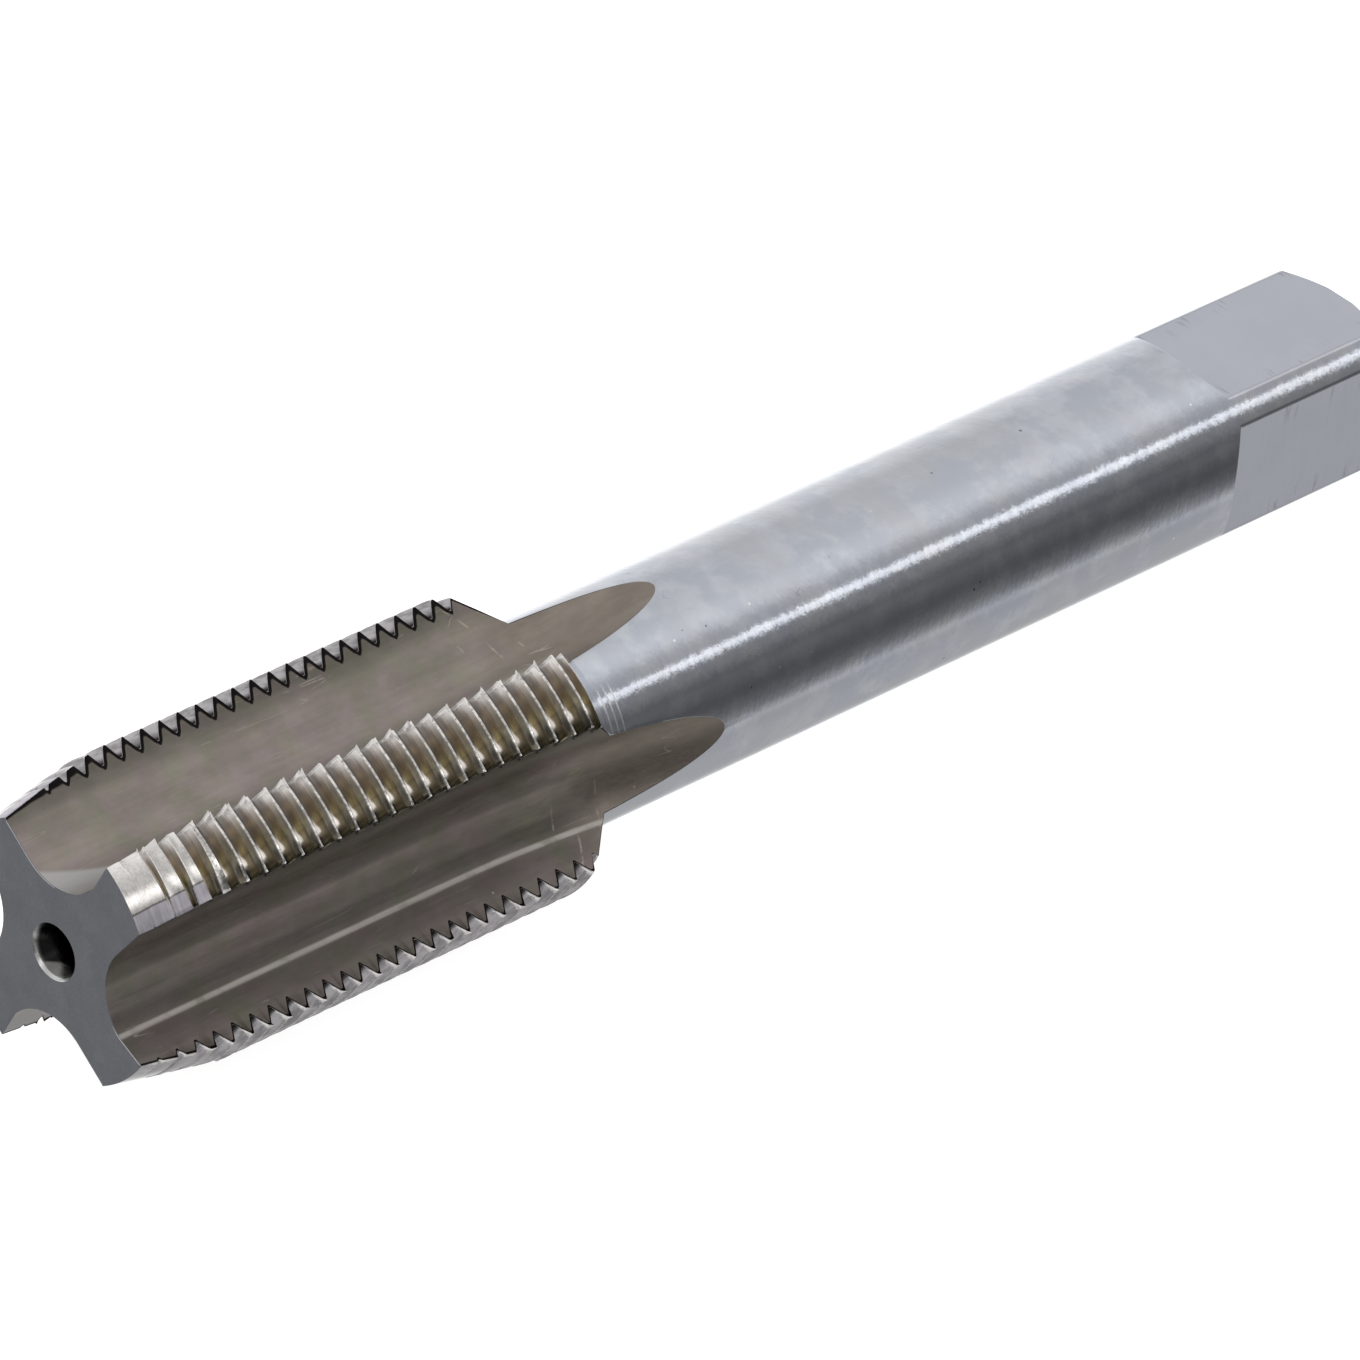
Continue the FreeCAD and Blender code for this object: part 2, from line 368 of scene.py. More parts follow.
centreForm = {
    "mouthRadius": 1.8,
    "pilotRadius": 0.8,
    "coneAngle": 60.0,
    "pilotLength": 2.2,
    "rimBreak": 0.08,
    "bottom": 0.01,  # the pilot's floor closes to this radius
    "segments": 64,
}
endForm = {
    "break": 0.12,  # of the end faces' outlines
    "cornerShare": 0.15,  # how much of it where a land's corner turns sharply
    "wornTowards": (0.87, -0.49),  # the edges that face this way, towards the light, take a painted highlight as bare metal
    "wornFacing": (0.85, 0.95),  # how squarely they have to, to be a little bright and wholly
}
burrForm = {
    "faceHeight": 0.22,
    "heelHeight": 0.12,
    "heelOutShare": 0.6,  # the heel's burrs lean over more than they stand out
    "cleanTip": 2.0,  # the lead's first teeth have none
    "downFlank": [1.0, 0.8, 0.25, 0.1],  # what is left of them at the thread's four places
    "faceColumns": [(0, 1.0), (-1, 0.9), (1, 0.35)],  # which columns from the edge they lift, and
    "heelColumns": [(0, 1.0), (1, 0.8), (-1, 0.3)],  # the share of their height there
}
# how bare the edges are: at the thread's four places, and on the ends' breaks, which at the tip also take a
# painted highlight where they face the light
bareShares = {
    "face": [1.0, 0.95, 0.6, 0.3],
    "heel": [1.0, 0.6, 0.0, 0.0],
    "tipBreak": 1.3,
    "farBreak": 0.4,
}
slots = {"land": 0, "flute": 1, "tipFace": 2, "shank": 3, "square": 4, "hole": 5}
marks = ["wear", "groove", "rim", "across", "landShare"]
weldWithin = 0.0001  # millimetres


def polarPoints(azimuth, radius, z):
    angle = np.radians(azimuth)
    return np.stack([radius * np.cos(angle), radius * np.sin(angle), z], axis=-1)


def gridFaces(first, rows, seamShift):
    # quads of a grid that closes on itself, the last column meeting the first one
    # seamShift rows further on
    row, column = np.mgrid[0:rows - 1, 0:columnTotal]
    ahead = (column + 1) % columnTotal
    shift = np.where(column + 1 == columnTotal, seamShift, 0)
    quads = np.stack([
        first + row * columnTotal + column,
        first + (row + shift) * columnTotal + ahead,
        first + (row + 1 + shift) * columnTotal + ahead,
        first + (row + 1) * columnTotal + column,
    ], axis=-1)
    kept = row + 1 + shift < rows
    return quads[kept], row[kept], column[kept]


def ringFaces(outer, inner):
    # quads between two rings, seen from the inner ring's side
    return np.stack([outer, inner, np.roll(inner, -1), np.roll(outer, -1)], axis=-1)


def inset(ring, width):
    # a closed outline moved inwards, in its own plane
    sides = (np.roll(ring, -1, axis=0) - ring)[:, :2]
    sides = sides / np.linalg.norm(sides, axis=1)[:, None]
    along = sides + np.roll(sides, 1, axis=0)
    along = along / np.linalg.norm(along, axis=1)[:, None]
    moved = ring.copy()
    moved[:, 0] -= along[:, 1] * width
    moved[:, 1] += along[:, 0] * width
    return moved


def filled(outline, hole, outlineFirst, holeFirst):
    # triangles of a flat face between its outline and its centre hole. The fourth
    # corner of a triangle is -1
    corners = [Vector(p[:2]) for p in outline] + [Vector(p[:2]) for p in hole]
    size = len(outline)
    sides = [(i, (i + 1) % size) for i in range(size)]
    sides += [(size + i, size + (i + 1) % len(hole)) for i in range(len(hole))]
    places, _, triangles, sources, _, _ = delaunay_2d_cdt(corners, sides, [], 1, 1e-7)
    index = [outlineFirst + s[0] if s[0] < size else holeFirst + s[0] - size for s in sources]
    holeArea = corners[size].length_squared * 0.999
    kept = []
    for triangle in triangles:
        middle = sum((places[i] for i in triangle), Vector((0, 0))) / 3
        if middle.length_squared > holeArea:
            kept.append([index[i] for i in reversed(triangle)] + [-1])
    return np.array(kept)


def addBurrs(azimuth, radius, z, stage):
    # the thread's edges are left rough: a ragged lip along each cutting edge and a nub
    # where each crest ends at the heel. None stands out where the tap rests on them
    rows = len(z)
    free = (z > burrForm["cleanTip"]) & (z < threadLength - threadForm["pitch"])
    onCrest = np.choose(stage, burrForm["downFlank"]) * free
    for column in np.flatnonzero(isLand & (columnShare == 0)):
        lip = burrForm["faceHeight"] * rng.random(rows) ** 2 * onCrest[:, column]
        for step, part in burrForm["faceColumns"]:
            radius[:, column + step] += lip * part
            azimuth[:, column + step] -= np.degrees(lip * part / threadRadius)
    for column in np.flatnonzero(isLand & (columnShare == 1)):
        lip = burrForm["heelHeight"] * (0.25 + 0.75 * rng.random(rows)) * onCrest[:, column]
        for step, part in burrForm["heelColumns"]:
            near = (column + step) % columnTotal
            radius[:, near] += lip * part * burrForm["heelOutShare"]
            azimuth[:, near] += np.degrees(lip * part / threadRadius)


class TapMesh:
    # the blocks of points that the mesh is put together from, its faces with their
    # finishes, and what each point tells the finishes: how worn its edge is, with the painted
    # glints of the ends' breaks and the holes' rims, how deep it lies in a groove, whether it
    # is on a flute's rim, how many millimetres across the flute it lies from the deepest line,
    # and its share of the land from the cutting edge
    def __init__(self):
        self.points = []
        self.marks = {name: [] for name in marks}
        self.faces = []
        self.finishes = []

    def addPoints(self, points, **values):
        first = sum(len(block) for block in self.points)
        points = points.reshape(-1, 3)
        self.points.append(points)
        for name in marks:
            value = np.asarray(values.get(name, 0.0), float)
            self.marks[name].append(np.broadcast_to(value.ravel(), len(points)))
        return first

    def addFaces(self, quads, finish):
        self.faces.append(quads)
        self.finishes.append(np.broadcast_to(finish, len(quads)))

    def welded(self):
        # points that lie on each other become one, and faces that shrank to nothing go
        points = np.vstack(self.points)
        places = np.round(points / weldWithin).astype(np.int64)
        _, first, same = np.unique(places, axis=0, return_index=True, return_inverse=True)
        faces = np.vstack(self.faces)
        corners = np.where(faces < 0, -1, same.ravel()[faces])
        kept, finishes = [], []
        for face, finish in zip(corners.tolist(), np.concatenate(self.finishes).tolist()):
            ring = [p for i, p in enumerate(face) if p >= 0 and p != face[i - 1]]
            if len(set(ring)) == len(ring) and len(ring) > 2:
                kept.append(ring)
                finishes.append(finish)
        values = {name: np.concatenate(self.marks[name])[first] for name in marks}
        return points[first], kept, finishes, values


landShares = np.where(isLand, columnShare, np.where(columnSide > 0, 0.0, 1.0))
rimMarks = (columnKind == kinds["fluteEdge"]) * 1.0


def threadWear(stage):
    # bare metal: widest at the cutting edge, and at the heel only where the crests end
    atFace = np.clip(1 - landShares / edgeWidths["face"], 0, 1)
    atHeel = np.clip(1 - (1 - landShares) / edgeWidths["heel"], 0, 1)
    byFace = atFace * np.choose(stage, bareShares["face"])
    byHeel = atHeel * np.choose(stage, bareShares["heel"])
    return np.where(isLand | (rimMarks > 0), np.maximum(byFace, byHeel), 0)


def addThread(mesh):
    azimuth, radius, z, across, groove, stage = threadRows()
    addBurrs(azimuth, radius, z, stage)
    none = np.zeros(z.shape)
    first = mesh.addPoints(polarPoints(azimuth, radius, z), wear=threadWear(stage), groove=groove,
                           rim=rimMarks + none, across=across, landShare=landShares + none)
    quads, row, column = gridFaces(first, len(z), rowsPerTurn)
    onLand = isLand[column] | isLand[(column + 1) % columnTotal]
    onThread = (z[row, column] + z[row + 1, column]) / 2 < threadLength + threadForm["finishPast"]
    mesh.addFaces(quads, np.where(onLand, np.where(onThread, slots["land"], slots["shank"]), slots["flute"]))
    return first


def addShank(mesh):
    azimuth, radius, z, across = shankRows()
    points = polarPoints(azimuth, radius, z)
    first = mesh.addPoints(points, rim=rimMarks + 0 * z, across=across, landShare=landShares + 0 * z)
    quads, row, column = gridFaces(first, len(z), 0)
    ahead = (column + 1) % columnTotal
    middle = (radius[row, column] + radius[row + 1, column]) / 2
    middleAhead = (radius[row, ahead] + radius[row + 1, ahead]) / 2
    below = shankRadius - np.minimum(middle, middleAhead) > squareForm["leastCut"]
    cut = ~(isLand[column] | isLand[ahead]) & below
    onSquare = z[row + 1, column] > squareStart - squareForm["rowsBefore"]
    mesh.addFaces(quads, np.where(cut, np.where(onSquare, slots["square"], slots["flute"]), slots["shank"]))
    return points[-1], first + (len(z) - 1) * columnTotal


def addEnd(mesh, edge, edgeFirst, far):
    # an end face: a narrow break inside its outline, the flat, and the centre hole
    circle = np.arange(centreForm["segments"]) * 360 / centreForm["segments"]
    mouth, pilot, soft = centreForm["mouthRadius"], centreForm["pilotRadius"], centreForm["rimBreak"]
    coneDepth = (mouth - pilot) / math.tan(math.radians(centreForm["coneAngle"] / 2))
    depth = coneDepth + centreForm["pilotLength"]
    rings = [(mouth + soft, 0), (mouth, soft * 1.2), (mouth - 2 * soft, soft * 4.6)]
    rings += [((mouth + pilot) / 2, coneDepth / 2), (pilot, coneDepth), (pilot, depth)]
    rings.append((centreForm["bottom"], depth))
    corner = (columnKind == kinds["fluteEdge"]) | isLand & ((columnShare == 0) | (columnShare == 1))
    rim = inset(edge, np.where(corner, endForm["cornerShare"], 1.0) * endForm["break"])
    rim[:, 2] = tapLength if far else 0
    # painted highlight on the tip's breaks that face the light
    sides = (np.roll(edge, -1, axis=0) - np.roll(edge, 1, axis=0))[:, :2]
    facing = sides[:, 1] * endForm["wornTowards"][0] - sides[:, 0] * endForm["wornTowards"][1]
    worn = np.interp(facing / np.linalg.norm(sides, axis=1), endForm["wornFacing"], (0, 1)) * ~isLand
    rimFirst = mesh.addPoints(rim, wear=bareShares["farBreak"] if far else worn * bareShares["tipBreak"])
    firsts = []
    for ringRadius, ringDepth in rings:
        level = tapLength - ringDepth if far else ringDepth
        ring = polarPoints(circle, ringRadius, np.full(len(circle), level))
        # the rings at the hole's mouth take the rim's painted highlight
        firsts.append(mesh.addPoints(ring, wear=1.0 if ringDepth < 2 * soft else 0.0))
    around = np.arange(columnTotal)
    steps = np.arange(len(circle))
    hole = polarPoints(circle, rings[0][0], 0 * circle)
    parts = [(ringFaces(edgeFirst + around, rimFirst + around), slots["tipFace"]),
             (filled(rim, hole, rimFirst, firsts[0]), slots["tipFace"])]
    for outer, inner in zip(firsts, firsts[1:]):
        parts.append((ringFaces(outer + steps, inner + steps), slots["hole"]))
    for quads, finish in parts:
        if far:
            turned = quads[:, ::-1].copy()
            triangle = quads[:, 3] < 0
            turned[triangle] = quads[triangle][:, [0, 2, 1, 3]]
            quads = turned
        mesh.addFaces(quads, finish)


def placed(name, data):
    item = bpy.data.objects.new(name, data)
    bpy.context.scene.collection.objects.link(item)
    return item


def toFrame(points):
    # from the tap's own coordinates to where the frame's mounts say it lies
    along = (endPlace - tipPlace).normalized()
    flat = Vector(mounts["square_flat_1"]["axis"])
    flat = (flat - along * flat.dot(along)).normalized()
    across = along.cross(flat)
    turn = math.radians(-squareForm["azimuth"])
    xAxis = flat * math.cos(turn) + across * math.sin(turn)
    yAxis = along.cross(xAxis)
    return (points @ np.array([xAxis, yAxis, along]) + np.array(tipPlace)) / 1000


def makeTap():
    parts = TapMesh()
    threadFirst = addThread(parts)
    lastRing, lastFirst = addShank(parts)
    tipRing = parts.points[0][:columnTotal]
    addEnd(parts, tipRing, threadFirst, far=False)
    addEnd(parts, lastRing, lastFirst, far=True)
    points, faces, finishes, values = parts.welded()
    mesh = bpy.data.meshes.new("threadTap")
    mesh.from_pydata(toFrame(points).tolist(), [], faces)
    mesh.polygons.foreach_set("material_index", np.array(finishes, np.int32))
    for name in marks:
        mark = mesh.attributes.new(name, "FLOAT", "POINT")
        mark.data.foreach_set("value", values[name].astype(np.float32))
    place = mesh.attributes.new("tapPlace", "FLOAT_VECTOR", "POINT")
    place.data.foreach_set("vector", points.astype(np.float32).ravel())
    mesh.shade_smooth()
    mesh.set_sharp_from_angle(angle=math.radians(threadForm["sharpAngle"]))
    mesh.update()
    tap = placed("threadTap", mesh)
    # the narrow breaks along the edges take the whole turn, so the wide faces stay flat
    threaded = tap.vertex_groups.new(name="threaded")
    threaded.add(np.flatnonzero(points[:, 2] < threadLength + 1).tolist(), 1.0, "REPLACE")
    weighted = tap.modifiers.new("flatFaces", "WEIGHTED_NORMAL")
    weighted.vertex_group = threaded.name
    weighted.keep_sharp = True
    weighted.weight = 80
    return tap


tap = makeTap()
print("tap mesh:", len(tap.data.vertices), "points", len(tap.data.polygons), "faces")


# Shader nodes

def put(tree, kind, inputs=None, **settings):
    # a node with its settings. An input is a value, or the output that feeds it
    node = tree.nodes.new(kind)
    for name, value in settings.items():
        setattr(node, name, value)
    for name, value in (inputs or {}).items():
        if isinstance(value, bpy.types.NodeSocket):
            tree.links.new(value, node.inputs[name])
        else:
            node.inputs[name].default_value = value
    return node


def calc(tree, operation, first, second=0.0):
    return put(tree, "ShaderNodeMath", {0: first, 1: second}, operation=operation).outputs[0]


def times(tree, first, second):
    return calc(tree, "MULTIPLY", first, second)


def plus(tree, first, second):
    return calc(tree, "ADD", first, second)


def less(tree, first, second):
    return calc(tree, "SUBTRACT", first, second)


def awayFrom(tree, value, middle):
    return calc(tree, "ABSOLUTE", less(tree, value, middle))


def product(tree, first, second):
    # of two colours or places, number by number
    return put(tree, "ShaderNodeVectorMath", {0: first, 1: second}, operation="MULTIPLY").outputs[0]


def spread(tree, value, low, high, toLow=0.0, toHigh=1.0):
    # a range of the value taken to another one, with soft ends
    inputs = {"Value": value, "From Min": low, "From Max": high, "To Min": toLow, "To Max": toHigh}
    return put(tree, "ShaderNodeMapRange", inputs, interpolation_type="SMOOTHSTEP").outputs[0]


def mixed(tree, factor, first, second):
    # a colour on its way from the first to the second. A plain colour is three numbers
    first, second = [(*c, 1) if isinstance(c, tuple) else c for c in (first, second)]
    return put(tree, "ShaderNodeMix", {0: factor, 6: first, 7: second}, data_type="RGBA").outputs[2]


def newGroup(name, inputs, output):
    # inputs with the values they start from, and a vector where there is none
    tree = bpy.data.node_groups.new(name, "ShaderNodeTree")
    for label, start in inputs.items():
        kind = "NodeSocketVector" if start is None else "NodeSocketFloat"
        socket = tree.interface.new_socket(label, in_out="INPUT", socket_type=kind)
        if start is not None:
            socket.default_value = start
    tree.interface.new_socket(output, in_out="OUTPUT", socket_type="NodeSocketFloat")
    given = tree.nodes.new("NodeGroupInput").outputs
    result = tree.nodes.new("NodeGroupOutput").inputs[output]
    return tree, given, result


def effect(tree, name, place, **inputs):
    # one of the groups, placed in a finish with values of its own
    group = bpy.data.node_groups[name]
    return put(tree, "ShaderNodeGroup", {"Place": place, **inputs}, node_tree=group).outputs[0]


def drawnOut(tree, given):
    # a place stretched so that a pattern changes Along and Across times in a millimetre
    often = put(tree, "ShaderNodeCombineXYZ", {0: given["Across"], 1: given["Across"], 2: given["Along"]})
    return product(tree, given["Place"], often.outputs[0])


def shiftedNoise(tree, place, shift, **inputs):
    # noise between 0 and 1. Each shift gives a pattern of its own
    inputs = {"Vector": place, "W": shift, **inputs}
    return put(tree, "ShaderNodeTexNoise", inputs, noise_dimensions="4D").outputs[0]


def grainGroup():
    # fine marks drawn out along the tap, as milling leaves them, or around it, as
    # turning and grinding do. Along and Across are how often they change in a millimetre
    inputs = {"Place": None, "Along": 1.0, "Across": 1.0, "Shift": 0.0}
    tree, given, result = newGroup("grain", inputs, "Grain")
    noise = shiftedNoise(tree, drawnOut(tree, given), given["Shift"], Scale=1.0, Detail=3.0, Roughness=0.6)
    tree.links.new(noise, result)


def patchGroup():
    # soft patches that cover a share of the surface
    inputs = {"Place": None, "Size": 3.0, "Share": 0.4, "Softness": 0.06, "Shift": 0.0}
    tree, given, result = newGroup("patches", inputs, "Patch")
    scale = calc(tree, "DIVIDE", 1.0, given["Size"])
    noise = shiftedNoise(tree, given["Place"], given["Shift"], Scale=scale, Detail=4.0, Roughness=0.6)
    # the noise seldom leaves 0.32 to 0.68, so the share moves the limit over that range
    limit = less(tree, 0.68, times(tree, given["Share"], 0.36))
    low = less(tree, limit, given["Softness"])
    high = plus(tree, limit, given["Softness"])
    tree.links.new(spread(tree, noise, low, high), result)


def scratchGroup():
    # thin broken lines: where a drawn-out noise passes its middle value, and only in patches
    inputs = {"Place": None, "Along": 0.1, "Across": 1.0, "Width": 0.01, "Share": 0.2, "Shift": 0.0}
    tree, given, result = newGroup("scratches", inputs, "Scratch")
    noise = shiftedNoise(tree, drawnOut(tree, given), given["Shift"], Scale=1.0, Detail=1.0)
    line = spread(tree, awayFrom(tree, noise, 0.5), 0.0, given["Width"], 1.0, 0.0)
    where = effect(tree, "patches", given["Place"], Size=2.5, Share=given["Share"], Shift=given["Shift"])
    tree.links.new(times(tree, line, where), result)


def pitGroup():
    # small round pits, in a share of the cells of a pattern
    inputs = {"Place": None, "Spacing": 2.0, "Size": 0.1, "Share": 0.3}
    tree, given, result = newGroup("pits", inputs, "Pit")
    scale = calc(tree, "DIVIDE", 1.0, given["Spacing"])
    cells = put(tree, "ShaderNodeTexVoronoi", {"Vector": given["Place"], "Scale": scale})
    chance = put(tree, "ShaderNodeSeparateColor", {0: cells.outputs["Color"]}).outputs
    reach = calc(tree, "DIVIDE", given["Size"], given["Spacing"])
    reach = times(tree, reach, spread(tree, chance[1], 0.0, 1.0, 0.4, 1.0))
    dot = spread(tree, cells.outputs["Distance"], times(tree, reach, 0.6), reach, 1.0, 0.0)
    shown = calc(tree, "LESS_THAN", chance[0], given["Share"])
    tree.links.new(times(tree, dot, shown), result)


def edgeGroup():
    # bright bare metal along worn edges, and painted glints along lit ones, with a ragged border
    inputs = {"Place": None, "Wear": 0.0, "Ragged": 0.6, "Often": 4.0}
    tree, given, result = newGroup("edgeWear", inputs, "Edge")
    settings = {"Vector": given["Place"], "Scale": given["Often"], "Detail": 3.0}
    noise = put(tree, "ShaderNodeTexNoise", settings)
    ragged = times(tree, less(tree, noise.outputs[0], 0.5), given["Ragged"])
    tree.links.new(spread(tree, plus(tree, given["Wear"], ragged), 0.4, 0.75), result)


for makeGroup in [grainGroup, patchGroup, scratchGroup, pitGroup, edgeGroup]:
    makeGroup()
print("shader groups:", [group.name for group in bpy.data.node_groups])


def newFinish(name):
    # bare metal, and where a point lies in the tap's own millimetres
    material = bpy.data.materials.new(name)
    material.use_nodes = True
    tree = material.node_tree
    shader = tree.nodes["Principled BSDF"]
    shader.inputs["Metallic"].default_value = 1
    place = put(tree, "ShaderNodeAttribute", attribute_name="tapPlace").outputs["Vector"]
    tap.data.materials.append(material)
    return tree, shader, place


def markValue(tree, name):
    return put(tree, "ShaderNodeAttribute", attribute_name=name).outputs["Fac"]


def finishWith(tree, shader, colour, rough, height, depth):
    # depth is how far the height's full range stands out, in metres
    tree.links.new(colour, shader.inputs["Base Color"])
    tree.links.new(rough, shader.inputs["Roughness"])
    bump = put(tree, "ShaderNodeBump", {"Height": height, "Distance": depth, "Strength": 1.0})
    tree.links.new(bump.outputs[0], shader.inputs["Normal"])


def colourRamp(tree, value, levels, low, high):
    # a colour, or a grey, that follows a list of them, each at its place between low and high
    place = put(tree, "ShaderNodeMapRange", {"Value": value, "From Min": low, "From Max": high}).outputs[0]
    node = put(tree, "ShaderNodeValToRGB", {0: place})
    elements = node.color_ramp.elements
    while len(elements) < len(levels):
        elements.new(0.5)
    for element, (spot, level) in zip(elements, levels):
        element.position = (spot - low) / (high - low)
        element.color = (*level, 1) if isinstance(level, tuple) else (level, level, level, 1)
    return node.outputs[0]


def scaled(tree, colour, shade):
    return put(tree, "ShaderNodeVectorMath", {0: colour, "Scale": shade}, operation="SCALE").outputs[0]


def towards(tree, place, side):
    # how many millimetres a point lies from the axis towards one side of the tap
    return put(tree, "ShaderNodeVectorMath", {0: place, 1: side}, operation="DOT_PRODUCT").outputs["Value"]


def alongTap(tree, place):
    return put(tree, "ShaderNodeSeparateXYZ", {0: place}).outputs[2]


def byGrain(tree, grain, low, high):
    # a value that follows a grain, which seldom leaves 0.3 to 0.7
    return spread(tree, grain, 0.3, 0.7, low, high)


def roughnessBy(tree, grain, look):
    low, high = [look["roughness"] * share for share in look["roughRange"]]
    return byGrain(tree, grain, low, high)


def wandering(tree, place, often, shift, reach):
    # a slow drift, to both sides of 0, that keeps borders from running straight
    drift = effect(tree, "grain", place, Along=often, Across=often, Shift=shift)
    return times(tree, less(tree, drift, 0.5), reach)


# Finish of the threaded lands: ground crests, tinted flanks, dark roots and torn edges, with
# painted highlights on the crests and roots of the lit land, and painted shade in the roots and lower
# flanks.
# Its bounds are shares of the way down a groove, from crest to root, and of the land, from
# its cutting edge to its heel

landLook = {
    # the crests are ground bright; on the lit land they are painted lighter, and the other lands take a
    # shaded copy
    "crest": (0.84, 0.81, 0.78),
    "dullCrest": (0.52, 0.50, 0.50),
    "flank": (0.57, 0.55, 0.565),
    # the roots are dark partly with oil, partly with painted shade
    "root": (0.035, 0.03, 0.026),
    "burr": (0.95, 0.92, 0.90),
    "burntSide": (0.98, -0.17, 0.0),  # the land that grinding burnt, and whose painted light and shade are set for the lamp, lies towards here
    "burntFrom": (4.0, 7.0),  # millimetres that way where the burn and the painted light begin and are full
    "leadEnds": (4.5, 6.5),  # millimetres from the tip
    "crestEnds": (0.02, 0.05),
    "lowFrom": (0.25, 0.6),
    "rootFrom": 0.6,
    "burntRootFrom": 0.76,
    "rootFull": 0.95,
    "dropAlong": (0.58, 0.78),  # a painted highlight: the bright roots widen towards the heel in a drop
    "dropFrom": (0.88, 0.66),
    "dropEnds": (0.79, 0.85),
    "wornFrom": 0.75,  # the lead's first teeth are worn from here, and painted lilac-grey as a reflection
    "worn": (0.66, 0.63, 0.69),
    "wornBorder": (0.22, 0.20, 0.20),
    "wornRoughness": 0.3,
    "roughness": 0.13,
    "roughRange": (0.7, 1.5),
    "burrRoughness": 0.3,
    "grindDepth": 0.0000015,
}
# Heat tints of the burnt land's flanks, with painted light and shade, from its cutting edge to its heel
burntTintsAndLight = [
    (0.0, (0.74, 0.71, 0.69)), (0.1, (0.70, 0.66, 0.63)), (0.2, (0.50, 0.45, 0.41)),
    (0.3, (0.48, 0.42, 0.35)), (0.4, (0.43, 0.375, 0.31)), (0.5, (0.49, 0.42, 0.32)),
    (0.6, (0.35, 0.31, 0.22)), (0.68, (0.22, 0.195, 0.145)), (0.8, (0.27, 0.245, 0.20)),
    (0.88, (0.38, 0.34, 0.27)), (1.0, (0.20, 0.18, 0.125)),
]
# and the painted light and shade of the flanks' lower halves, the roots and the crests there: lighter where
# the highlight falls, darker elsewhere
paintedLowFlankLight = [
    (0.0, 0.72), (0.1, 0.64), (0.3, 0.92), (0.5, 0.85), (0.65, 1.8), (0.8, 1.45), (0.9, 0.75), (1.0, 1.5),
]
paintedRootLight = [
    (0.0, 0.3), (0.15, 0.36), (0.35, 0.42), (0.55, 0.4), (0.63, 0.95), (0.8, 1.0), (0.87, 0.2), (1.0, 0.12),
]
paintedCrestLight = [(0.0, 0.85), (0.5, 0.9), (0.62, 1.15), (0.78, 1.1), (0.87, 0.45), (1.0, 0.4)]
plainWhite = (1.0, 1.0, 1.0)


def landFlanks(tree, groove, share, burntAndLit, grain):
    tints = colourRamp(tree, share, burntTintsAndLight, 0, 1)
    # the lit land's lower flanks take painted shade, and painted light where the highlight falls
    isLow = spread(tree, groove, *landLook["lowFrom"])
    low = mixed(tree, isLow, plainWhite, colourRamp(tree, share, paintedLowFlankLight, 0, 1))
    tints = mixed(tree, burntAndLit, landLook["flank"], product(tree, tints, low))
    darkest = spread(tree, burntAndLit, 0.0, 1.0, 0.6, 0.87)
    return scaled(tree, tints, spread(tree, grain, 0.35, 0.65, darkest, 1.12))


def landCrests(tree, place, share, burntAndLit, onLead):
    beads = effect(tree, "grain", place, Along=4.0, Across=4.0, Shift=8.0)
    darkest = spread(tree, onLead, 0.0, 1.0, 0.62, 0.93)
    crest = mixed(tree, burntAndLit, landLook["dullCrest"], landLook["crest"])
    crest = scaled(tree, crest, spread(tree, beads, 0.4, 0.55, darkest, 1.08))
    # on the lit land the crests take painted light along the land, brightest where the highlight falls
    past = less(tree, burntAndLit, onLead)
    return product(tree, crest, mixed(tree, past, plainWhite, colourRamp(tree, share, paintedCrestLight, 0, 1)))


def landRoots(tree, groove, share, burntAndLit, onLead, colour):
    # the roots: a painted highlight on the lit land, and dark on the others, partly painted shade
    bright = scaled(tree, landLook["crest"], colourRamp(tree, share, paintedRootLight, 0, 1))
    root = mixed(tree, burntAndLit, landLook["root"], bright)
    start = spread(tree, burntAndLit, 0.0, 1.0, landLook["rootFrom"], landLook["burntRootFrom"])
    colour = mixed(tree, spread(tree, groove, start, landLook["rootFull"]), colour, root)
    # painted highlight: a drop that widens from the bright roots towards the heel
    drop = less(tree, groove, spread(tree, share, *landLook["dropAlong"], *landLook["dropFrom"]))
    drop = times(tree, spread(tree, drop, 0.0, 0.1), spread(tree, share, *landLook["dropEnds"], 1.0, 0.0))
    drop = times(tree, drop, less(tree, burntAndLit, onLead))
    return mixed(tree, drop, colour, bright)


